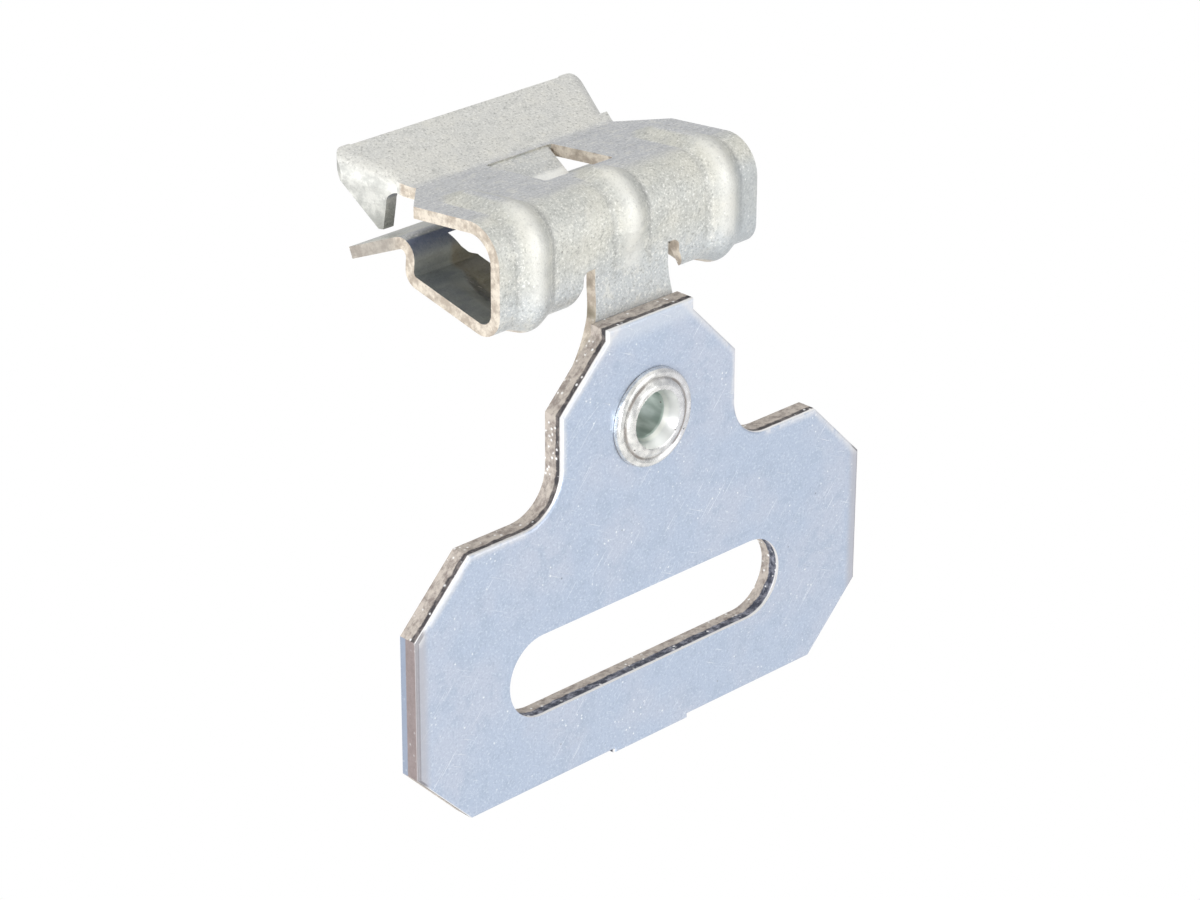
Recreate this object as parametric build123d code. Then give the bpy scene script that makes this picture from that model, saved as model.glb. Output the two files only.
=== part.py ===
from build123d import *
import os
from math import cos, radians, sin, tan

# Strap hanger: a spring steel clip driven onto a beam flange, and a flat slotted plate
# that hangs from the clip's leg on a hollow rivet. Millimetres, X across the plate,
# Y towards the flange that the clip grips, Z up. The origin is on the rivet's axis,
# where the plate's back meets the front of the clip's leg.

# Plate
plate_width = 65.0
plate_thick = 2.5
plate_gap = 0.05              # running gap each side of the plate, so that it can swing
plate_foot = 37.2             # from the rivet's axis down to the bottom edge
plate_shoulder = 7.2          # from the rivet's axis down to the shoulders
plate_head = 11.3             # from the rivet's axis up to the top edge
head_width = 12.4
head_step = 1.2               # short upright step below the top edge
neck_width = 25.2
neck_fillet = 5.0             # inner corner between neck and shoulder
corner_cut = 7.2              # 45 degree cut on the four outer corners
edge_roll = 0.35              # rounding that the press leaves round the front face
slot_length = 40.0
slot_height = 9.3
slot_drop = 24.25             # from the rivet's axis down to the slot's middle
tab_width = 11.0              # stub left on the bottom edge by the strip carrier
tab_drop = 0.5
tab_offset = 0.7

# Hollow rivet
bore_radius = 2.5
shank_radius = 3.1
shank_clearance = 0.05
rim_radius = 5.4
rim_side = 0.2                # upright start of the rolled rim on the plate
ring_round = 0.6              # quarter round on the rim's outer ring
groove_radius = 4.4           # groove between the outer ring and the collar
groove_height = 0.6
collar_radius = 3.85          # where the collar's flank turns over towards the mouth
collar_height = 1.1
collar_side = 1.0             # height of the collar's two shoulders
mouth_radius = 3.2
funnel_depth = 0.9            # how far the mouth's funnel goes in behind the plate's face
clench_radius = 4.9
clench_height = 0.9
clench_side = 0.6             # height of the clench's two shoulders

# Spring clip sheet
clip_sheet = 1.27
clip_width = 36.6
wall_set_back = 0.35          # front wall of the loop, behind the front of the leg
loop_top = 24.8               # outer corner of the top bend
loop_foot = 12.2              # outer corner of the bottom bend
top_slope = 5.6               # degrees, the top plate falls towards the flange
bottom_slope = 12.7           # degrees, the bottom plate rises towards the flange
loop_depth = 13.6             # to the middle of the loop's rear wall
rear_lean = 0.35
crown_height = 19.9           # middle of the sheet at the lower jaw's crown
lip_length = 10.1
lip_drop = 23.6               # degrees
top_bend = 3.4                # bend radii to the middle of the sheet
foot_bend = 2.05
rear_bend = 1.1
crown_bend = 1.3
fold_bend = 3.0

# Blade, side teeth and barb
fold_reach = 17.6             # where the top plate turns up into the blade
blade_reach = 26.4
blade_rise = 16.0             # degrees
blade_front_width = 28.0      # at the fold
blade_rear_width = 36.6       # it flares towards its rear edge
blade_corner = 1.6
wing_reach = 12.8             # rear corners of the top plate's wings
wing_slant = 4.4              # how far back the slanted wing edges run to the notch
notch_length = 1.9            # plain side edge between wing and tooth
tooth_bend = 1.3              # bend radius between blade and tooth, to the middle of the sheet
tooth_point = 21.3
tooth_depth = 6.3             # from the top of the blade down to the point
tooth_heel = 0.4              # straight drop at the tooth's rear
tooth_round = 1.3             # inner corner between the blade's side and the tooth's front
point_width = 0.5
barb_root_width = 8.3         # the barb is lanced from the top plate at the blade's fold
barb_tip_width = 4.4
barb_reach = 10.5             # front end of the barb
window_front = 7.9            # front edge of the opening round the barb
window_rear = 17.0
window_front_width = 9.6
window_rear_width = 9.2
window_round = 0.38

# Pressed ribs
rib_width = 5.4
rib_slope = 22.5              # degrees, a rib's flanks against the sheet
rib_round = 1.4               # at a rib's feet and crest, to the middle of the sheet
rib_place = 13.4              # middle of each end rib from the middle of the clip
rib_runout = 2.6              # length over which a rib falls to the sheet
rib_back = 12.8               # how far back the end ribs run on the top plate
rib_under = 11.2              # how far back they run on the bottom plate
centre_rib_back = 7.8
centre_rib_foot = 17.2

# Leg
leg_neck = 10.4
leg_eye = 10.0                # radius of the eye behind the plate
leg_flare = 14.0              # radius between neck and eye
notch_width = 1.6
notch_top = 16.9
notch_round = 0.78
notch_land = 0.6              # straight run below the notch, above the bottom bend's cut edge
joggle_top = 14.6
joggle_foot = 11.6
joggle_bend = 4.0
strip_front = 9.2             # half width of the lower opening at the bottom bend
strip_rear = 14.6             # half width of the same opening at the rear wall

half_sheet = clip_sheet / 2
wall_y = wall_set_back + half_sheet
top_z = loop_top - half_sheet
foot_z = loop_foot + half_sheet


def along_top(y):
    """Middle of the top plate at a distance y behind the rivet's origin."""
    return (0, y, top_z - (y - wall_y) * tan(radians(top_slope)))


def along_foot(y):
    """Middle of the bottom plate at a distance y."""
    return (0, y, foot_z + (y - wall_y) * tan(radians(bottom_slope)))


def along_blade(y):
    """Middle of the blade, or of its plane carried forward under the top plate."""
    fold = along_top(fold_reach)
    return (0, y, fold[2] + (y - fold_reach) * tan(radians(blade_rise)))


top_corner = (0, wall_y, top_z)
foot_corner = (0, wall_y, foot_z)
rear_corner = along_foot(loop_depth)
crown = (0, loop_depth - rear_lean, crown_height)
lip_tip = (
    0,
    crown[1] + lip_length * cos(radians(lip_drop)),
    crown_height - lip_length * sin(radians(lip_drop)),
)


def line_of_bends(points, radii):
    """Middle line of a bent sheet, straight runs joined by tangent arcs."""
    return FilletPolyline(*points, radius=radii)


def start_plane(path):
    """Plane across the start of a path, with its first axis along X."""
    return Plane(origin=path @ 0, x_dir=(1, 0, 0), z_dir=path % 0)


def bent_sheet(points, radii, width, thick=clip_sheet, x=0):
    """Sheet of one thickness and width that follows a line of bends."""
    path = line_of_bends(points, radii)
    section = start_plane(path) * Pos(x, 0) * Rectangle(width, thick)
    return sweep(section, path=path)


def rib_section(plane, x, slope):
    """Section of the sheet across a rib: round feet, straight flanks and a round crest."""
    half = rib_width / 2
    lean = radians(slope)
    bend = rib_round * rib_slope / slope
    peak = (half - bend * tan(lean / 2)) * tan(lean)
    height = peak - bend * (1 / cos(lean) - 1)
    edges = []
    for level in (half_sheet, -half_sheet):
        inner = bend - level
        outer = bend + level
        foot = (half, level)
        bow = (half - inner * sin(lean / 2), bend - inner * cos(lean / 2))
        knee = (half - inner * sin(lean), bend - inner * cos(lean))
        shoulder = (outer * sin(lean), height - bend + outer * cos(lean))
        left, right = [[(x + side * p[0], p[1]) for p in (foot, bow, knee, shoulder)] for side in (-1, 1)]
        for side in (left, right):
            edges.append(ThreePointArc(*side[:3]))
            edges.append(Line(side[2], side[3]))
        edges.append(ThreePointArc(left[3], (x, height + level), right[3]))
    for side in (-1, 1):
        edges.append(Line((x + side * half, half_sheet), (x + side * half, -half_sheet)))
    return plane * make_face(edges)


def rib_end(inner, outer, x, side):
    """Run-out of a rib on a straight stretch, from full height down to the sheet."""
    along = Vector(*outer) - Vector(*inner)
    across = side * Vector(1, 0, 0)
    far = Plane(origin=outer, x_dir=across, z_dir=along)
    near = Plane(origin=inner, x_dir=across, z_dir=along)
    nearly_flat = 0.5
    return loft([rib_section(near, side * x, rib_slope), rib_section(far, side * x, nearly_flat)])


def toward(start, goal, length):
    """Point at a length from start in the direction of goal."""
    step = Vector(*goal) - Vector(*start)
    place = Vector(*start) + step.normalized() * length
    return (place.X, place.Y, place.Z)


def rib_along(points, radii, x):
    """Rib that follows the line of bends, with a run-out at each end."""
    first = toward(points[0], points[1], rib_runout)
    last = toward(points[-1], points[-2], rib_runout)
    path = line_of_bends([first] + points[1:-1] + [last], radii)
    body = sweep(rib_section(start_plane(path), x, rib_slope), path=path)
    return body + rib_end(first, points[0], x, -1) + rib_end(last, points[-1], x, 1)


def press_rib(sheet, points, radii, x):
    """Sheet with one rib pressed out of it along a line of bends."""
    spare = 1.0
    blank = bent_sheet(points, radii, rib_width, clip_sheet + spare, x)
    return (sheet - blank) + rib_along(points, radii, x)


def plan_cut(points, low, high):
    """Block over a plan outline, between two heights."""
    face = make_face(Polyline(*points, close=True))
    return Pos(0, 0, low) * extrude(face, amount=high - low, dir=(0, 0, 1))


def front_cut(face, near, far):
    """Block behind a front view outline, between two distances."""
    placed = Plane(origin=(0, near, 0), x_dir=(1, 0, 0), z_dir=(0, -1, 0)) * face
    return extrude(placed, amount=far - near, dir=(0, 1, 0))


def both_sides(shape):
    """A shape and its mirror image across X = 0."""
    return [shape, mirror(shape, about=Plane.YZ)]


def clip_sheet_body():
    """Blade, top plate, front wall, bottom plate, rear wall and lip, at full width."""
    points = [
        along_blade(blade_reach),
        along_top(fold_reach),
        top_corner,
        foot_corner,
        rear_corner,
        crown,
        lip_tip,
    ]
    return bent_sheet(points, [fold_bend, top_bend, foot_bend, rear_bend, crown_bend], clip_width)


def clip_ribs(sheet):
    """End ribs from the top plate round to the bottom plate, and a short one at the middle."""
    bends = [top_bend, foot_bend]
    run = [along_top(rib_back), top_corner, foot_corner, along_foot(rib_under)]
    for x in (-rib_place, rib_place):
        sheet = press_rib(sheet, run, bends, x)
    short = [along_top(centre_rib_back), top_corner, (0, wall_y, centre_rib_foot)]
    return press_rib(sheet, short, [top_bend], 0)


def half_width_beyond():
    """Half width of a cut that passes the clip's sides."""
    return clip_width / 2 + clip_sheet


def blade_plan():
    """Blade and its side flanges in plan, with round rear corners."""
    front = wing_reach + wing_slant
    half_front = blade_front_width / 2
    half_rear = blade_rear_width / 2
    face = make_face(
        Polyline(
            (half_front, front),
            (half_rear, blade_reach),
            (-half_rear, blade_reach),
            (-half_front, front),
            close=True,
        )
    )
    return fillet(face.vertices().sort_by(Axis.Y)[-2:], blade_corner)


def trim_top(sheet):
    """Top plate's wings slanted back to a notch, then the flared blade."""
    low = crown_height + clip_sheet
    high = loop_top + blade_reach
    half_wide = half_width_beyond()
    front = wing_reach + wing_slant
    past = blade_reach + clip_sheet
    wings = make_face(
        Polyline(
            (half_wide, wing_reach - clip_sheet),
            (half_wide, past),
            (-half_wide, past),
            (-half_wide, wing_reach - clip_sheet),
            (-clip_width / 2, wing_reach),
            (-blade_front_width / 2, front),
            (blade_front_width / 2, front),
            (clip_width / 2, wing_reach),
            close=True,
        )
    )
    waste = Pos(0, 0, low) * extrude(wings - blade_plan(), high - low, dir=(0, 0, 1))
    return sheet - waste


def tooth_outline():
    """Side view of a tooth, from above the blade down to its point."""
    root = wing_reach + wing_slant + notch_length
    point_z = along_blade(tooth_point)[2] + half_sheet - tooth_depth
    under = along_blade(root)[2] - half_sheet
    high = along_blade(blade_reach)[2] + clip_sheet
    heel_z = along_blade(blade_reach)[2] - half_sheet - tooth_heel
    front = tooth_point - point_width / 2
    rear = tooth_point + point_width / 2
    shoulder = (root + tooth_round, under - tooth_round)
    bow = (root + tooth_round * sin(radians(45)), under - tooth_round * (1 - cos(radians(45))))
    edge = [
        Line((root, high), (blade_reach + clip_sheet, high)),
        Line((blade_reach + clip_sheet, high), (blade_reach + clip_sheet, heel_z)),
        Line((blade_reach + clip_sheet, heel_z), (blade_reach - half_sheet, heel_z)),
        Line((blade_reach - half_sheet, heel_z), (rear, point_z)),
        Line((rear, point_z), (front, point_z)),
        Line((front, point_z), shoulder),
        ThreePointArc(shoulder, bow, (root, under)),
        Line((root, under), (root, high)),
    ]
    return make_face(edge)


def side_tooth():
    """Right flange of the blade, bent down and cut to a pointed tooth."""
    front = wing_reach + wing_slant
    half_front = blade_front_width / 2
    half_rear = blade_rear_width / 2
    start = Vector(half_front, front, along_blade(front)[2])
    end = Vector(half_rear, blade_reach, along_blade(blade_reach)[2])
    side = (end - start).normalized()
    normal = Vector(0, -sin(radians(blade_rise)), cos(radians(blade_rise)))
    inboard = normal.cross(side)
    inner_end = start + inboard * (half_sheet + tooth_bend * 2)
    corner = start + inboard * half_sheet
    lower_end = corner - normal * (tooth_depth + tooth_bend)
    path = FilletPolyline(inner_end, corner, lower_end, radius=tooth_bend)
    plane = Plane(origin=inner_end, x_dir=side, z_dir=path % 0)
    length = (end - start).length
    section = plane * Pos(length / 2, 0) * Rectangle(length + clip_sheet * 4, clip_sheet)
    strip = sweep(section, path=path)
    profile = extrude(Plane.YZ * tooth_outline(), half_rear * 2, dir=(1, 0, 0))
    plan = extrude(blade_plan(), (loop_top + blade_reach) * 2, dir=(0, 0, 1))
    return strip & profile & plan


def clip_with_teeth(sheet):
    """Sheet with both side flanges in place of the blade's flat sides."""
    root = wing_reach + wing_slant + notch_length
    low = crown_height + clip_sheet
    high = loop_top + blade_reach
    tooth = side_tooth()
    spread = (blade_rear_width - blade_front_width) / 2 / (blade_reach - wing_reach - wing_slant)
    lost = tooth_bend + half_sheet
    inner_root = blade_front_width / 2 + spread * notch_length - lost
    inner_rear = blade_rear_width / 2 + spread * clip_sheet - lost
    outer = half_width_beyond()
    past = blade_reach + clip_sheet
    flat = [(inner_root, root), (outer, root), (outer, past), (inner_rear, past)]
    for cut in both_sides(plan_cut(flat, low, high)):
        sheet -= cut
    for flange in both_sides(tooth):
        sheet += flange
    return sheet


def barb():
    """Tapered tongue that carries the blade's plane on, forward and down under the top plate."""
    tilt = 1 / cos(radians(blade_rise))
    start = along_blade(barb_reach)
    along = Vector(*along_blade(blade_reach)) - Vector(*start)
    plane = Plane(origin=start, x_dir=(1, 0, 0), z_dir=along.cross(Vector(1, 0, 0)))
    root = (window_rear - barb_reach) * tilt
    sunk = root + clip_sheet
    side = -1 if plane.y_dir.Y < 0 else 1
    outline = Polyline(
        (-barb_tip_width / 2, 0),
        (barb_tip_width / 2, 0),
        (barb_root_width / 2, side * root),
        (barb_root_width / 2, side * sunk),
        (-barb_root_width / 2, side * sunk),
        (-barb_root_width / 2, side * root),
        close=True,
    )
    return extrude(plane * make_face(outline), half_sheet, both=True)


def barb_window():
    """Opening in the top plate on both sides of the tongue and in front of it."""
    outline = Polyline(
        (-window_front_width / 2, window_front),
        (window_front_width / 2, window_front),
        (window_rear_width / 2, window_rear),
        (-window_rear_width / 2, window_rear),
        close=True,
    )
    face = fillet(make_face(outline).vertices(), window_round)
    low = along_top(window_rear)[2] - clip_sheet
    high = loop_top + clip_sheet
    return Pos(0, 0, low) * extrude(face, high - low, dir=(0, 0, 1))


def lower_window():
    """Opening that the leg's blank leaves in the bottom plate and the rear wall."""
    high = crown_height - half_sheet
    inner = wall_y + half_sheet
    outline = [
        (-strip_front, inner),
        (strip_front, inner),
        (strip_rear, loop_depth - clip_sheet),
        (strip_rear, loop_depth + clip_sheet),
        (-strip_rear, loop_depth + clip_sheet),
        (-strip_rear, loop_depth - clip_sheet),
    ]
    return plan_cut(outline, loop_foot - clip_sheet, high)


def front_window():
    """Notches beside the leg and the cut edge below them, through wall and bottom bend."""
    half_notch = leg_neck / 2 + notch_width
    low = loop_foot - clip_sheet
    bend_start = loop_foot + foot_bend + half_sheet
    outline = Polyline(
        (-half_notch, notch_top),
        (half_notch, notch_top),
        (half_notch, bend_start + notch_land),
        (strip_front, low),
        (-strip_front, low),
        (-half_notch, bend_start + notch_land),
        close=True,
    )
    face = make_face(outline)
    top = face.vertices().sort_by(Axis.Y)[-2:]
    face = fillet(top, notch_round)
    return front_cut(face, wall_set_back - clip_sheet, wall_y + half_sheet + foot_bend)


def leg():
    """Leg that drops from the front wall to the eye behind the plate."""
    overlap = 0.8
    reach = leg_eye + clip_sheet
    top = notch_top + overlap
    points = [
        (0, wall_y, top),
        (0, wall_y, joggle_top),
        (0, half_sheet, joggle_foot),
        (0, half_sheet, -reach),
    ]
    strip = bent_sheet(points, [joggle_bend, joggle_bend], 2 * reach)
    half_neck = leg_neck / 2
    eye = Circle(leg_eye)
    neck = Pos(0, top / 2) * Rectangle(leg_neck, top)
    flare_z = ((leg_eye + leg_flare) ** 2 - (half_neck + leg_flare) ** 2) ** 0.5
    web = make_face(
        Polyline((0, 0), (half_neck + leg_flare, flare_z), (-half_neck - leg_flare, flare_z), close=True)
    )
    for side in (-1, 1):
        web -= Pos(side * (half_neck + leg_flare), flare_z) * Circle(leg_flare)
    outline = eye + neck + web
    body = strip & front_cut(outline, -clip_sheet, wall_y + clip_sheet * 2)
    hole = front_cut(Circle(shank_radius), -clip_sheet, clip_sheet * 2)
    return body - hole


def flange_clip():
    clip = clip_sheet_body()
    clip = clip_ribs(clip)
    clip = trim_top(clip)
    clip = clip_with_teeth(clip)
    clip -= barb_window()
    clip += barb()
    clip -= lower_window()
    clip -= front_window()
    clip += leg()
    return clip


def plate_outline():
    """Front view of the plate, without its slot and hole."""
    half = plate_width / 2
    half_neck = neck_width / 2
    half_head = head_width / 2
    step_z = plate_head - head_step
    neck_z = step_z - (half_neck - half_head)
    right = [
        (half_head, plate_head),
        (half_head, step_z),
        (half_neck, neck_z),
        (half_neck, -plate_shoulder),
        (half - corner_cut, -plate_shoulder),
        (half, -plate_shoulder - corner_cut),
        (half, corner_cut - plate_foot),
        (half - corner_cut, -plate_foot),
    ]
    left = [(-x, z) for x, z in reversed(right)]
    face = make_face(Polyline(*right, *left, close=True))
    inner = [v for v in face.vertices() if abs(abs(v.X) - half_neck) < 0.01 and v.Y < 0]
    face = fillet(inner, neck_fillet)
    tab = Pos(tab_offset, -plate_foot) * Rectangle(tab_width, 2 * tab_drop)
    return face + tab


def strap_plate():
    back = -plate_gap
    front = back - plate_thick
    face = plate_outline()
    face -= Pos(0, -slot_drop) * SlotOverall(slot_length, slot_height)
    face -= Circle(shank_radius + shank_clearance)
    plate = front_cut(face, front, back)
    front_face = plate.faces().sort_by(Axis.Y)[0]
    rolled = list(front_face.outer_wire().edges())
    return fillet(rolled, edge_roll)


def hollow_rivet():
    """Eyelet with a rolled rim in front of the plate and a clench behind the leg."""
    rim_y = -(plate_thick + 2 * plate_gap)
    back_y = clip_sheet
    slant = radians(45)
    ring_top = rim_y - rim_side - ring_round
    ring_bow = (rim_radius - ring_round * (1 - cos(slant)), rim_y - rim_side - ring_round * sin(slant))
    groove = (groove_radius, rim_y - groove_height)
    collar_start = (collar_radius, rim_y - collar_side)
    collar_crest = ((collar_radius + mouth_radius) / 2, rim_y - collar_height)
    mouth = (mouth_radius, rim_y - collar_side)
    funnel = (bore_radius, rim_y + funnel_depth)
    clench_start = (clench_radius, back_y + clench_side)
    clench_crest = ((clench_radius + shank_radius) / 2, back_y + clench_height)
    clench_end = (shank_radius, back_y + clench_side)
    outline = [
        Line((shank_radius, back_y), (shank_radius, rim_y)),
        Line((shank_radius, rim_y), (rim_radius, rim_y)),
        Line((rim_radius, rim_y), (rim_radius, rim_y - rim_side)),
        ThreePointArc((rim_radius, rim_y - rim_side), ring_bow, (rim_radius - ring_round, ring_top)),
        Line((rim_radius - ring_round, ring_top), groove),
        Line(groove, collar_start),
        ThreePointArc(collar_start, collar_crest, mouth),
        Line(mouth, funnel),
        Line(funnel, (bore_radius, back_y)),
        Line((bore_radius, back_y), clench_end),
        ThreePointArc(clench_end, clench_crest, clench_start),
        Line(clench_start, (clench_radius, back_y)),
        Line((clench_radius, back_y), (shank_radius, back_y)),
    ]
    return revolve(make_face(outline), axis=Axis.Y)


if __name__ == "__main__":
    os.makedirs("parts", exist_ok=True)
    export_step(flange_clip(), "parts/flange_clip.step")
    export_step(strap_plate(), "parts/strap_plate.step")
    export_step(hollow_rivet(), "parts/hollow_rivet.step")
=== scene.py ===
import math

import bmesh
import bpy
from mathutils import Matrix, Vector


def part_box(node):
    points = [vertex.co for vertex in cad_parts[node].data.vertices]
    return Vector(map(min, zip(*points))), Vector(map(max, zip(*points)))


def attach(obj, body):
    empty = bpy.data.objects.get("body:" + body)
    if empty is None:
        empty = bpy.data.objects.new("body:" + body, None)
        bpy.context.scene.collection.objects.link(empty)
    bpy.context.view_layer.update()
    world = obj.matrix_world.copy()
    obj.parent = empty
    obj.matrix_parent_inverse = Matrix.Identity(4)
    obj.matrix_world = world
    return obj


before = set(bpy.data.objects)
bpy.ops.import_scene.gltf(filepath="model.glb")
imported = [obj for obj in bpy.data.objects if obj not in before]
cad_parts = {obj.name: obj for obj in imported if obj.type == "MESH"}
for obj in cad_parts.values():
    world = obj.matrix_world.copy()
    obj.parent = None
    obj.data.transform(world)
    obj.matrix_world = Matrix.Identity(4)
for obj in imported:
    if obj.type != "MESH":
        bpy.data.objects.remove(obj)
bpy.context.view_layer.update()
MM = 0.001


# Strap plate: a flat stamping of 2.5 mm steel with a clear blue zinc coat. The press leaves
# a rolled front edge, then a dark burnished band and a rough brown-grey torn band behind it.
class Wire:
    """One output in a material's node tree. Arithmetic on wires adds Math nodes there."""

    def __init__(self, tree, socket=None):
        self.tree = tree
        self.socket = socket

    def node(self, kind, settings=None, inputs=None, output=0):
        """Adds a node of one type, with its settings first, then its values and links."""
        made = self.tree.nodes.new(kind)
        for name, value in (settings or {}).items():
            if name != "stops":
                setattr(made, name, value)
                continue
            ramp = made.color_ramp.elements
            while len(ramp) < len(value):
                ramp.new(0.5)
            for stop, (place, color) in zip(ramp, value):
                stop.position = place
                stop.color = color
        for name, value in (inputs or {}).items():
            if isinstance(value, Wire):
                self.tree.links.new(value.socket, made.inputs[name])
            else:
                made.inputs[name].default_value = value
        return Wire(self.tree, made.outputs[output] if made.outputs else None)

    def math(self, operation, *terms):
        return self.node("ShaderNodeMath", {"operation": operation}, dict(enumerate(terms)))

    def __add__(self, other):
        return self.math("ADD", self, other)

    def __radd__(self, other):
        return self.math("ADD", other, self)

    def __sub__(self, other):
        return self.math("SUBTRACT", self, other)

    def __rsub__(self, other):
        return self.math("SUBTRACT", other, self)

    def __mul__(self, other):
        return self.math("MULTIPLY", self, other)

    def __rmul__(self, other):
        return self.math("MULTIPLY", other, self)

    def __abs__(self):
        return self.math("ABSOLUTE", self)

    def rise(self, low, high):
        """0 below low, 1 above high and smooth between them. With low above high it falls."""
        reach = {"Value": self, "From Min": low, "From Max": high}
        return self.node("ShaderNodeMapRange", {"interpolation_type": "SMOOTHSTEP"}, reach)

    def near(self, value, reach, core):
        """1 within core of a value, fading to 0 at reach from it."""
        return abs(self - value).rise(reach, core)

    def blend(self, first, second):
        """Colour that goes from first to second as this value goes from 0 to 1."""
        factor, color_a, color_b, color_out = 0, 6, 7, 2
        sockets = {factor: self, color_a: first, color_b: second}
        return self.node("ShaderNodeMix", {"data_type": "RGBA"}, sockets, color_out)


def greatest(first, *others):
    """The highest of several values."""
    for other in others:
        first = first.math("MAXIMUM", first, other)
    return first


def layered(base, *layers):
    """Colour of a base under layers, each a mask, a strength and a colour, the last on top."""
    for mask, strength, color in layers:
        base = (mask * strength).blend(base, color)
    return base


def paint(red, green, blue):
    """Linear colour of a screen colour given in 0 to 255."""
    screen = [value / 255 for value in (red, green, blue)]
    linear = [value / 12.92 if value < 0.04 else ((value + 0.055) / 1.055) ** 2.4 for value in screen]
    return (*linear, 1)


def surface(name):
    """A new material: its tree, and the place and the normal in the part's own frame, in mm."""
    made = bpy.data.materials.new(name)
    made.use_nodes = True
    made.node_tree.nodes.clear()
    tree = Wire(made.node_tree)
    place = tree.node("ShaderNodeTexCoord", output="Object")
    place = place.node("ShaderNodeVectorMath", {"operation": "SCALE"}, {0: place, "Scale": 1 / MM})
    facing = tree.node("ShaderNodeTexCoord", output="Normal")
    return made, tree, place, facing


def axes(vector):
    """The three numbers of a vector."""
    return [vector.node("ShaderNodeSeparateXYZ", inputs={"Vector": vector}, output=axis) for axis in "XYZ"]


def stretched(place, scale, turn=0.0):
    """Place scaled apart along each axis, after a turn about the plate's normal."""
    angles = {"Vector": place, "Rotation": (0, turn, 0)}
    turned = place.node("ShaderNodeVectorRotate", {"rotation_type": "EULER_XYZ"}, angles)
    return turned.node("ShaderNodeVectorMath", {"operation": "MULTIPLY"}, {0: turned, 1: scale})


def noise(place, size, detail=2.0, rough=0.5):
    """Cloudy value about 0.5, with features of a size in mm."""
    dials = {"Vector": place, "Scale": 1 / size, "Detail": detail, "Roughness": rough}
    return place.node("ShaderNodeTexNoise", inputs=dials)


def specks(place, spacing, radius, share):
    """Small round dots: one in each cell of a spacing in mm, kept in a share of the cells."""
    dials = {"Vector": place, "Scale": 1 / spacing}
    dot = place.node("ShaderNodeTexVoronoi", inputs=dials)
    pick = place.node("ShaderNodeTexVoronoi", inputs=dials, output="Color")
    chosen = axes(pick)[0].rise(share, share * 0.8)
    return dot.rise(radius / spacing, radius / spacing * 0.4) * chosen


def scratches(place, length, width, turn, share):
    """Sparse fine lines of about a length and a width in mm, at one angle in the plate's plane."""
    lines = noise(stretched(place, (1 / length, 1 / length, 1 / width), turn), size=1.0, detail=1.0)
    return lines.rise(1 - share, 1 - share * 0.75) * noise(place, size=length * 0.6).rise(0.42, 0.60)


def wear(piece, made, tree, dials, height, depth):
    """Gives a piece one material: dials by socket name, and a height that bumps it by a depth in mm."""
    bump = tree.node("ShaderNodeBump", inputs={"Strength": 1.0, "Distance": depth * MM, "Height": height})
    shader = tree.node("ShaderNodeBsdfPrincipled", inputs={**dials, "Normal": bump})
    tree.node("ShaderNodeOutputMaterial", inputs={"Surface": shader})
    piece.data.materials.clear()
    piece.data.materials.append(made)


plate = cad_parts["strap_plate"]
plate_low, plate_high = (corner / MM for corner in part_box("strap_plate"))
plate_front = plate_low.y
plate_thick = plate_high.y - plate_low.y
plate_side = 32.5
outer_chamfer = 18.1
head_chamfer = 16.3
head_top = 11.3
neck_side = 12.6
shoulder = -7.2
plate_zinc, tree, place, facing = surface("clear_blue_zinc")
x, y, z = axes(place)
across, outward, upward = axes(facing)
wander = noise(place, size=1.1, detail=3.0) - 0.5
cloud = noise(place, size=8.0, detail=3.0)
blotch = noise(place, size=1.7, detail=4.0, rough=0.6)
grain = noise(place, size=0.28, detail=3.0, rough=0.75)
torn = noise(stretched(place, (1.0, 1.3, 1.0)), size=1.0, detail=5.0, rough=0.75)
worn = noise(place, size=4.0, detail=4.0).rise(0.45, 0.62)
lines = greatest(
    scratches(place, length=7.0, width=0.10, turn=0.85, share=0.31),
    scratches(place, length=5.0, width=0.08, turn=-0.45, share=0.28),
    scratches(place, length=9.0, width=0.10, turn=0.62, share=0.29) * z.rise(-6.0, 4.0),
)
dots = greatest(
    specks(place, spacing=0.55, radius=0.15, share=0.28) * (worn * 0.85 + 0.15),
    specks(stretched(place, (1.5, 1.0, 0.8)), spacing=2.1, radius=0.18, share=0.14),
)
pits = specks(stretched(place, (1.03, 1.0, 0.97)), spacing=2.2, radius=0.16, share=0.16)
above_neck = z.rise(2.0, 4.0)
on_neck = z.rise(-3.5, -2.0)
past_fillet = abs(x).rise(17.0, 18.0)
# Painted highlight: a near-white band along the rolled front edges of the chamfers, the neck and the
# shoulders.
rim_highlight = greatest(
    (abs(x) + z + wander * 0.8).rise(outer_chamfer - 1.4, outer_chamfer - 0.1),
    (abs(x) + z + wander * 0.8).rise(head_chamfer - 1.4, head_chamfer - 0.1) * above_neck,
    (abs(x) + wander * 0.5).rise(neck_side - 0.9, neck_side - 0.05) * on_neck,
    (z + wander * 0.5).rise(shoulder - 0.9, shoulder - 0.05) * past_fillet,
)
top_band = z.rise(head_top - 2.7, head_top - 0.9)
side_band = abs(x).rise(plate_side - 1.8, plate_side - 0.6) * z.rise(-9.0, -11.0)
face_color = layered(
    cloud.rise(0.38, 0.62).blend(paint(184, 196, 215), paint(191, 199, 215)),
    (blotch.rise(0.48, 0.68), 0.65, paint(174, 187, 206)),
    (grain.rise(0.52, 0.68), 0.8, paint(212, 221, 232)),
    (grain.rise(0.47, 0.32), 0.6, paint(162, 175, 194)),
    (top_band, 0.45, paint(222, 226, 232)),
    (lines, 0.9, paint(240, 244, 249)),
    (dots, 0.85, paint(244, 247, 250)),
    (side_band, 0.7, paint(186, 184, 189)),
    (pits, 0.7, paint(128, 134, 146)),
    # Painted highlight on the rolled rims, broken up by the blotches.
    (rim_highlight * blotch.rise(0.30, 0.50), 0.65, paint(236, 234, 233)),
)

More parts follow.
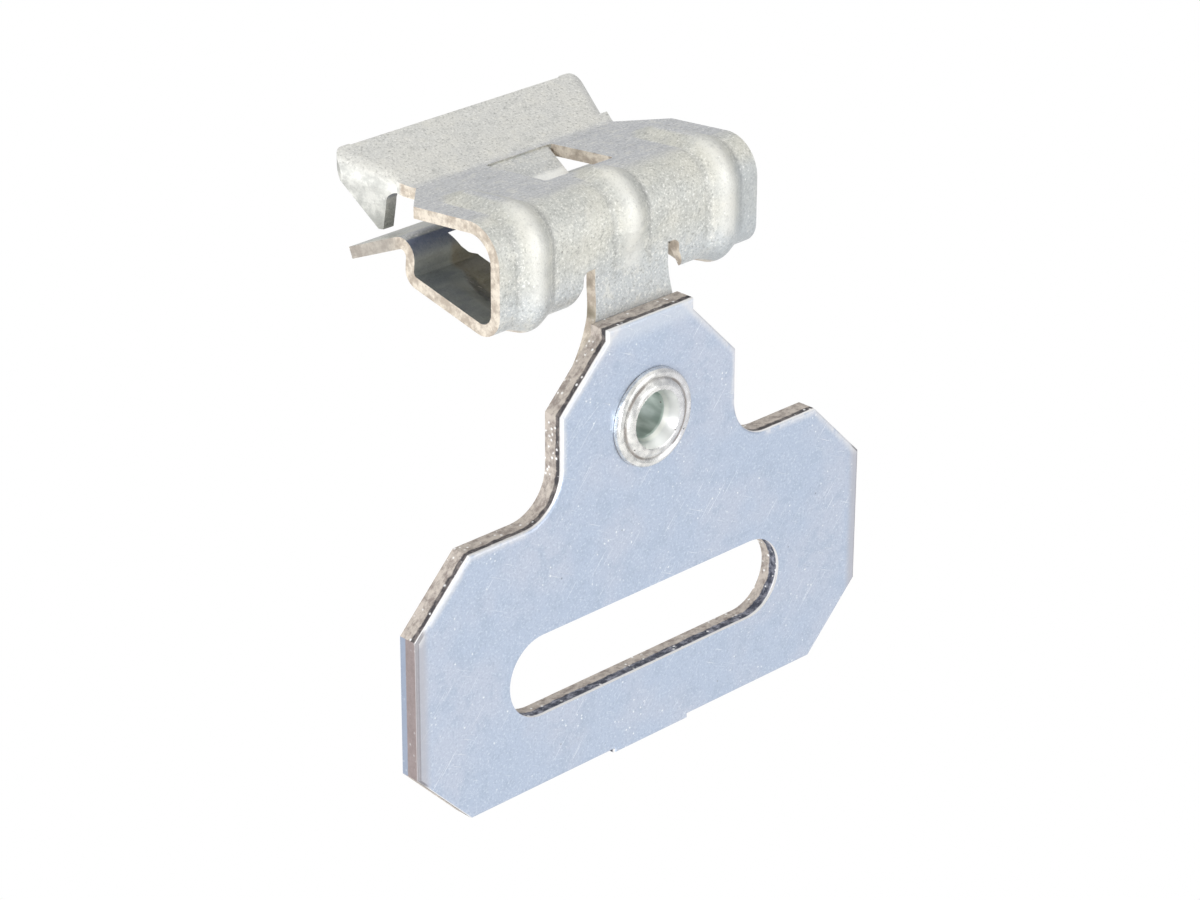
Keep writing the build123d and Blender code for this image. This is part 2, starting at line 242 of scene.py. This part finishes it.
depth = (y - plate_front) * (1 / plate_thick)
edge = abs(outward).rise(0.75, 0.35)
side_edge = abs(across).rise(0.93, 0.98) * abs(x).rise(plate_side - 1.5, plate_side - 0.5)
# Painted shade on the rounded front edge along the plate's sides.
side_fillet_shade = abs(across).rise(0.10, 0.35) * outward.rise(-0.1, -0.3)
side_fillet_shade = side_fillet_shade * abs(x).rise(plate_side - 1.5, plate_side - 0.7)
slot_edge = z.rise(-17.0, -18.5) * abs(x).rise(26.0, 24.0)
# Painted highlight: a near-white band on the rolled front of each cut edge.
rolled_highlight = (depth + wander * 0.05).rise(0.19, 0.12) * (1 - side_edge)
# Painted glints: white dots on the torn band of the cut edges.
painted_glints = specks(place, spacing=0.55, radius=0.20, share=0.26) * torn.rise(0.40, 0.50)
shine = torn.rise(0.42, 0.66)
burnished = slot_edge.blend(
    shine.blend(paint(70, 67, 70), paint(128, 121, 118)),
    shine.blend(paint(62, 66, 80), paint(150, 152, 164)),
)
fracture = torn.rise(0.34, 0.60).blend(paint(150, 140, 134), paint(200, 191, 182))
slit_color = layered(
    torn.rise(0.3, 0.7).blend(paint(140, 128, 127), paint(154, 142, 141)),
    ((depth + wander * 0.03).rise(0.66, 0.72), 1, paint(150, 160, 178)),
    ((depth + wander * 0.02).rise(0.16, 0.13), 1, paint(190, 186, 190)),
)
cut_color = layered(
    burnished,
    ((depth - slot_edge * 0.16 + wander * 0.22).rise(0.34, 0.42), 1, fracture),
    (side_edge, 1, slit_color),
    (rolled_highlight, 1, paint(236, 235, 235)),
    (painted_glints * (1 - side_edge * 0.7), 0.9, paint(250, 250, 250)),
)
cut_inside = edge * (1 - rolled_highlight)
wear(
    plate,
    plate_zinc,
    tree,
    {
        "Base Color": layered(face_color, (edge, 1, cut_color), (side_fillet_shade, 0.85, paint(134, 132, 136))),
        "Metallic": 0.82 - cut_inside * 0.35,
        "Roughness": 0.42 + (grain - 0.5) * 0.35 + cut_inside * 0.2 + side_fillet_shade * 0.2,
    },
    grain * 0.8 + torn * cut_inside * 4.0 + cloud * 1.2 + blotch * 0.6 - lines * 0.6 + dots * 0.6 - pits,
    depth=0.025,
)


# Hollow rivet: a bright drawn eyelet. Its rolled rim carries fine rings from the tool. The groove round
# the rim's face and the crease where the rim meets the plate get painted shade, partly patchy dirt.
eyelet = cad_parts["hollow_rivet"]
bore_radius = 2.5
lip_radius = 2.66
funnel_radius = 3.1
groove_radius = 4.38
foot_radius = 5.0
bright_zinc, tree, place, facing = surface("bright_rolled_zinc")
x, y, z = axes(place)
radius = x.math("SQRT", x * x + z * z)
grain = noise(place, size=0.3, detail=3.0, rough=0.6)
mottle = noise(place, size=0.9, detail=3.0)
streaks = noise(stretched(place, (1.0, 0.35, 1.0)), size=1.2, detail=3.0)
pits = specks(place, spacing=0.8, radius=0.15, share=0.22)
rings = radius.math("SINE", radius * 16.0)
funnel = radius.rise(funnel_radius + 0.15, funnel_radius)
# Painted highlight: a near-white ring at the lip of the bore.
bore_lip_highlight = radius.near(lip_radius, reach=0.16, core=0.04)
bore = radius.rise(bore_radius + 0.10, bore_radius + 0.04)
# Painted shade in the groove round the rim's face and in the crease at the rim's foot; its patchy part is
# also dirt.
groove_shade = radius.near(groove_radius, reach=0.22, core=0.06) * y.rise(plate_front + 0.1, plate_front - 0.1)
foot_crease = y.rise(plate_front - 0.22, plate_front - 0.04) * radius.rise(foot_radius, foot_radius + 0.3)
dirt_and_shade = (groove_shade * 0.8 + foot_crease) * noise(place, size=1.8).rise(0.44, 0.60)
color = layered(
    mottle.rise(0.35, 0.65).blend(paint(200, 200, 198), paint(236, 235, 231)),
    (grain.rise(0.58, 0.78), 0.4, paint(188, 182, 172)),
    (x.rise(-2.0, 4.0) * (mottle + 0.3), 0.6, paint(205, 206, 214)),
    (funnel, 1, paint(226, 227, 226)),
    (bore_lip_highlight, 1, paint(250, 250, 246)),
    (bore, 1, streaks.rise(0.30, 0.70).blend(paint(158, 173, 165), paint(206, 217, 211))),
    (groove_shade, 0.45, paint(134, 130, 126)),
    (dirt_and_shade, 0.8, paint(104, 92, 84)),
    (pits, 0.8, paint(84, 76, 70)),
)
wear(
    eyelet,
    bright_zinc,
    tree,
    {
        "Base Color": color,
        "Metallic": 0.88 - dirt_and_shade * 0.6,
        "Roughness": 0.27 + (grain - 0.5) * 0.15 + dirt_and_shade * 0.4 + funnel * 0.1 + bore * 0.1,
    },
    grain * 0.25 + rings * 0.12 - pits * 0.5,
    depth=0.02,
)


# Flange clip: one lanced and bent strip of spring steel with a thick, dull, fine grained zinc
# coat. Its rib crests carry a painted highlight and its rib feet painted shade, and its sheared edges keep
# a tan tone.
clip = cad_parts["flange_clip"]
loop_middle_y = 7.6
loop_middle_z = 18.0
rib_middle = 13.4
rib_foot = 2.45
rib_hollow = 13.2
barb_side = 4.4
barb_slope = 0.098
lip_slope = 0.437
spring_zinc, tree, place, facing = surface("dull_grained_zinc")
x, y, z = axes(place)
across, outward, upward = axes(facing)
grain = noise(place, size=0.26, detail=3.0, rough=0.75)
mottle = noise(place, size=1.4, detail=4.0, rough=0.65)
cloud = noise(place, size=4.5, detail=3.0)
brushed = noise(stretched(place, (0.22, 2.6, 2.6)), size=1.0, detail=4.0, rough=0.65)
hidden = noise(stretched(place, (0.4, 1.0, 1.0)), size=2.0).rise(0.35, 0.65)
dots = specks(place, spacing=0.55, radius=0.14, share=0.12)
pits = specks(stretched(place, (1.03, 0.97, 1.0)), spacing=1.7, radius=0.14, share=0.16)

inward = outward * (loop_middle_y - y) + upward * (loop_middle_z - z)
in_loop = inward.rise(0.2, 1.2) * y.rise(15.6, 14.0) * z.rise(11.0, 12.0)
under_blade = y.rise(16.0, 18.0) * upward.rise(-0.2, -0.6)
# Painted highlight on the barb's tongue, which is also kept out of the painted shade inside.
barb_highlight = abs(x).rise(barb_side + 0.1, barb_side - 0.1) * y.rise(9.6, 10.2)
barb_highlight = barb_highlight * (z + y * barb_slope).rise(23.5, 23.2) * z.rise(19.8, 20.0)
shaded_inside = greatest(in_loop, under_blade * 0.6) * (1 - barb_highlight)
blade = y.rise(16.6, 18.0) * z.rise(20.0, 21.0)
shaded_tooth = y.rise(18.6, 19.0) * abs(x).rise(12.8, 13.2) * abs(across).rise(0.5, 0.8)
shaded_tooth = shaded_tooth * (z + y * lip_slope).rise(26.6, 27.0)
leg_edge = z.rise(13.6, 12.6) * abs(outward).rise(0.6, 0.35) * y.rise(3.0, 2.6)
cut = greatest(abs(across).rise(0.72, 0.88) * (1 - shaded_tooth), leg_edge)
flat_top = upward.rise(0.93, 0.99) * y.rise(18.4, 16.8) * y.rise(3.0, 6.0)
front_wall = y.rise(4.0, 2.0)
low_wall = z.rise(19.0, 15.0) * front_wall * z.rise(9.0, 12.0)
off_crest = x.math("MINIMUM", abs(x), abs(abs(x) - rib_middle))
ribbed = y.rise(6.0, 2.0) * z.rise(15.0, 16.5)
calm = 1 - off_crest.rise(2.0, 1.0) * ribbed * 0.6
far_rib_shade = x.rise(13.8, 16.0) * upward.rise(0.75, 0.3)
far_wall_shade = x.rise(9.0, 12.5) * z.rise(16.0, 13.5) * front_wall

warm = layered(
    cloud.rise(0.35, 0.65).blend(paint(197, 198, 193), paint(208, 207, 198)),
    (blade, 0.6, paint(222, 221, 218)),
)
cool = brushed.rise(0.3, 0.7).blend(paint(187, 189, 195), paint(208, 209, 211))
tan = layered(
    mottle.rise(0.38, 0.62).blend(paint(176, 163, 148), paint(222, 212, 197)),
    (grain.rise(0.46, 0.30), 0.5, paint(150, 136, 122)),
    (y.rise(14.0, 17.0) * z.rise(20.0, 19.0), 0.6, paint(140, 136, 132)),
)
# Painted shadow along the hollow of the end rib, inside the loop.
rib_hollow_shadow = abs(x).near(rib_hollow, reach=0.7, core=0.25) * y.rise(11.2, 9.6) * z.rise(17.0, 16.0)
# Painted shade for the inside of the loop and under the blade: a brown painted reflection on the jaw's
# floor, lighter grey painted shade past the end rib, a near-black painted shadow along the rib's hollow
# and a blue painted reflection near the lip.
dark = layered(
    hidden.blend(paint(96, 90, 70), paint(136, 127, 102)),
    (abs(x).rise(12.9, 13.7), 1, hidden.blend(paint(116, 124, 126), paint(148, 152, 148))),
    (rib_hollow_shadow, 0.85, paint(44, 40, 36)),
    (z.rise(17.5, 19.5) * y.rise(11.5, 12.5), 1, paint(92, 106, 140)),
)
color = layered(
    warm,
    (flat_top, 0.85, cool),
    (low_wall, 0.7, paint(194, 199, 203)),
    # Painted highlight along the rib crests, then painted shade in the creases at the rib feet.
    (off_crest.rise(1.7, 0.5) * ribbed, 0.5, paint(240, 239, 233)),
    (off_crest.near(rib_foot, reach=0.6, core=0.1) * ribbed, 0.5, paint(168, 169, 166)),
    (mottle.rise(0.50, 0.70), 0.45, paint(224, 222, 213)),
    (mottle.rise(0.46, 0.32), 0.35, paint(176, 177, 174)),
    (grain.rise(0.52, 0.70) * calm, 0.8, paint(242, 241, 236)),
    (grain.rise(0.47, 0.30) * calm, 0.7, paint(142, 142, 138)),
    # Painted highlight: the barb's tongue near white.
    (barb_highlight, 0.7, paint(250, 250, 246)),
    # Painted shade: the tooth's outward face painted darker and mottled.
    (shaded_tooth, 0.85, mottle.rise(0.35, 0.65).blend(paint(178, 179, 175), paint(216, 216, 211))),
    # Painted shade on the outer flank of the right-hand end rib and the wall before it, away from the
    # light.
    (greatest(far_rib_shade, far_wall_shade), 0.45, paint(168, 175, 181)),
    (cut, 0.92, tan),
    (shaded_inside, 0.74, dark),
    (dots * (1 - shaded_inside), 0.55, paint(250, 250, 248)),
    (pits, 0.6, paint(124, 122, 116)),
)
wear(
    clip,
    spring_zinc,
    tree,
    {
        "Base Color": color,
        "Metallic": 0.72 - cut * 0.4,
        "Roughness": 0.47 + (grain - 0.5) * 0.3 - flat_top * 0.05 + cut * 0.2 + shaded_tooth * 0.1,
    },
    grain * (1.4 + blade * 0.6) + mottle * 1.4 + brushed * flat_top * 1.0 + dots * 0.5 - pits,
    depth=0.035,
)


# Jaw webs: beside the leg's opening, the lower jaw's sheet reaches further in than the solids
# have it. Each web fills a triangle of the jaw's floor and climbs the rear wall to the crown,
# with the inner side of the end rib pressed along it.
web_sheet = 1.25
web_overlap = 0.03
web_columns = 8
web_inner = 9.7
web_climb = 3.8
climb_start = 15.7
climb_height = 3.4
opening_start = 1.62
opening_side = 9.2
opening_slope = 0.5042
opening_widest = 14.6
rib_half = 2.7
rib_height = 0.887
rib_round = 1.4
rib_lean = math.radians(22.5)
rib_end = 11.2
rib_fade = 2.54
floor_lean = math.radians(12.7)
floor_run = 12.615
floor_start = Vector((0.985, 12.835))
web_start = 2.61
floor_step = 0.972
floor_rows = 11
rear_round = 1.1
rear_steps = 10
crown_round = 1.3
crown_steps = 16
crown_rows = 14
rear_corner = floor_start + Vector((floor_run, floor_run * math.tan(floor_lean)))
crown_corner = Vector((13.25, 19.9))
lip_tip = crown_corner + Vector((9.255, -4.043))
smooth_below = math.radians(40)


def round_corner(before, corner, after, radius, steps):
    """Places and headings along the arc that rounds a corner in the YZ plane."""
    into = corner - before
    onward = after - corner
    start = math.atan2(into.y, into.x)
    turn = math.atan2(onward.y, onward.x) - start
    side = math.copysign(radius, turn)
    hub = corner - into.normalized() * radius * math.tan(abs(turn) / 2)
    hub += side * Vector((-math.sin(start), math.cos(start)))
    headings = [start + turn * step / steps for step in range(steps + 1)]
    return [(hub + side * Vector((math.sin(a), -math.cos(a))), a) for a in headings]


def rib_rise(x, y):
    """How far the end rib stands out of the jaw's floor at a place."""
    off = abs(x - rib_middle)
    bow = rib_round * math.sin(rib_lean)
    if off >= rib_half:
        height = 0
    elif off > rib_half - bow:
        height = rib_round - math.sqrt(rib_round**2 - (rib_half - off) ** 2)
    elif off < bow:
        height = rib_height - rib_round + math.sqrt(rib_round**2 - off**2)
    else:
        height = rib_height - rib_round + rib_round * math.cos(rib_lean) - (off - bow) * math.tan(rib_lean)
    return height * min(1, max(0, (rib_end - y) / rib_fade))


def web_line():
    """Middle line of the webs: the jaw's floor, the rear bend, the rear wall and the crown."""
    line = []
    for step in range(floor_rows):
        run = web_start + step * floor_step - floor_start.x
        line.append((floor_start + run * Vector((1, math.tan(floor_lean))), floor_lean))
    line += round_corner(floor_start, rear_corner, crown_corner, rear_round, rear_steps)
    line += round_corner(rear_corner, crown_corner, lip_tip, crown_round, crown_steps)[:crown_rows]
    return line


def jaw_web(name, side):
    """Closed mesh of one web, on the side of X that side's sign gives."""
    mesh = bmesh.new()
    rows = []
    for spot, heading in web_line():
        near = web_inner + web_climb * min(1, max(0, (spot.y - climb_start) / climb_height))
        opening = min(opening_side + (spot.x - opening_start) * opening_slope, opening_widest)
        far = opening + web_overlap
        into_loop = Vector((-math.sin(heading), math.cos(heading)))
        row = []
        for column in range(web_columns + 1):
            x = near + (far - near) * column / web_columns
            middle = spot - into_loop * rib_rise(x, spot.x)
            for level in (web_sheet / 2, -web_sheet / 2):
                y, z = middle + into_loop * level
                row.append(mesh.verts.new(Vector((side * x, y, z)) * MM))
        rows.append(row)
    last = len(rows[0]) - 2
    for row, following in zip(rows, rows[1:]):
        for i in range(0, last, 2):
            mesh.faces.new((row[i], row[i + 2], following[i + 2], following[i]))
            mesh.faces.new((row[i + 1], following[i + 1], following[i + 3], row[i + 3]))
        for i in (0, last):
            mesh.faces.new((row[i], following[i], following[i + 1], row[i + 1]))
    for row in (rows[0], rows[-1]):
        for i in range(0, last, 2):
            mesh.faces.new((row[i], row[i + 1], row[i + 3], row[i + 2]))
    bmesh.ops.recalc_face_normals(mesh, faces=mesh.faces)
    data = bpy.data.meshes.new(name)
    mesh.to_mesh(data)
    mesh.free()
    data.shade_smooth()
    data.set_sharp_from_angle(angle=smooth_below)
    data.materials.append(spring_zinc)
    web = bpy.data.objects.new(name, data)
    bpy.context.scene.collection.objects.link(web)
    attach(web, "clip")


jaw_web("jaw_web_left", -1)
jaw_web("jaw_web_right", 1)


# Studio: a white floor well below the hanging part, soft lamps, and a camera at the
# photograph's angle, aimed by the place of the rivet's axis in the picture.
white = (1.0, 1.0, 1.0, 1.0)
paper_grey = (0.8, 0.8, 0.8, 1.0)
mirrored_glow = 0.55
floor_drop = 0.17
floor_reach = 6.0
floor_corners = ((-1, -1), (1, -1), (1, 1), (-1, 1))
floor_mesh = bpy.data.meshes.new("floor")
floor_places = [(a * floor_reach, b * floor_reach, -floor_drop) for a, b in floor_corners]
floor_mesh.from_pydata(floor_places, [], [(0, 1, 2, 3)])
floor = bpy.data.objects.new("floor", floor_mesh)
bpy.context.scene.collection.objects.link(floor)
paper = bpy.data.materials.new("white_paper")
paper.use_nodes = True
paper.node_tree.nodes.clear()
tree = Wire(paper.node_tree)
seen = tree.node("ShaderNodeLightPath", output="Is Camera Ray")
mirrored = tree.node("ShaderNodeLightPath", output="Is Glossy Ray")
lit = tree.node("ShaderNodeBsdfDiffuse", inputs={"Color": paper_grey})
glow = tree.node("ShaderNodeEmission", inputs={"Color": white, "Strength": 1.0})
shown = tree.node("ShaderNodeMixShader", inputs={0: seen + mirrored * mirrored_glow, 1: lit, 2: glow})
tree.node("ShaderNodeOutputMaterial", inputs={"Surface": shown})
floor_mesh.materials.append(paper)

room_by_height = [
    (0.0, (0.95, 0.96, 1.0, 1.0)),
    (0.45, (0.62, 0.63, 0.66, 1.0)),
    (0.62, (0.60, 0.61, 0.63, 1.0)),
    (0.80, (0.92, 0.92, 0.92, 1.0)),
    (1.0, (1.10, 1.10, 1.08, 1.0)),
]
world = bpy.data.worlds.new("studio")
bpy.context.scene.world = world
world.use_nodes = True
world.node_tree.nodes.clear()
tree = Wire(world.node_tree)
seen = tree.node("ShaderNodeLightPath", output="Is Camera Ray")
level = axes(tree.node("ShaderNodeTexCoord"))[2]
room = level.node("ShaderNodeValToRGB", {"stops": room_by_height}, {"Fac": level * 0.5 + 0.5})
backdrop = tree.node("ShaderNodeBackground", inputs={"Color": seen.blend(room, white), "Strength": 1.0})
tree.node("ShaderNodeOutputWorld", inputs={"Surface": backdrop})


def softbox(name, place, aim, size, watts):
    """Square area lamp that faces a point."""
    light = bpy.data.lights.new(name, "AREA")
    light.size = size
    light.energy = watts
    lamp = bpy.data.objects.new(name, light)
    bpy.context.scene.collection.objects.link(lamp)
    lamp.location = place
    lamp.rotation_euler = (Vector(aim) - Vector(place)).to_track_quat("-Z", "Y").to_euler()


softbox("key", place=(-0.72, -0.16, 0.30), aim=(0, 0, 0), size=0.25, watts=2.4)
softbox("front", place=(0.25, -0.75, 0.20), aim=(0, 0, 0), size=0.45, watts=1.2)
softbox("low", place=(-0.46, -0.46, -0.06), aim=(0, 0, 0.01), size=0.22, watts=2.0)

azimuth = math.radians(-44.67)
elevation = math.radians(25.13)
roll = math.radians(0.27)
aside = 3.414
above = 4.233
away = 387.418
right = Vector((math.cos(azimuth), math.sin(azimuth), 0))
back = Vector(
    (
        math.sin(azimuth) * math.cos(elevation),
        -math.cos(azimuth) * math.cos(elevation),
        math.sin(elevation),
    )
)
up = back.cross(right)
turned_right = right * math.cos(roll) + up * math.sin(roll)
turned_up = up * math.cos(roll) - right * math.sin(roll)
spot = (back * away - turned_right * aside - turned_up * above) * MM
camera = bpy.data.objects.new("camera", bpy.data.cameras.new("camera"))
bpy.context.scene.collection.objects.link(camera)
pose = Matrix((turned_right, turned_up, back)).transposed().to_4x4()
pose.translation = spot
camera.matrix_world = pose
camera.data.sensor_width = 36.0
camera.data.lens = 113.13
camera.data.clip_start = 0.01
camera.data.clip_end = 20.0
bpy.context.scene.camera = camera
bpy.context.scene.view_settings.view_transform = "Standard"
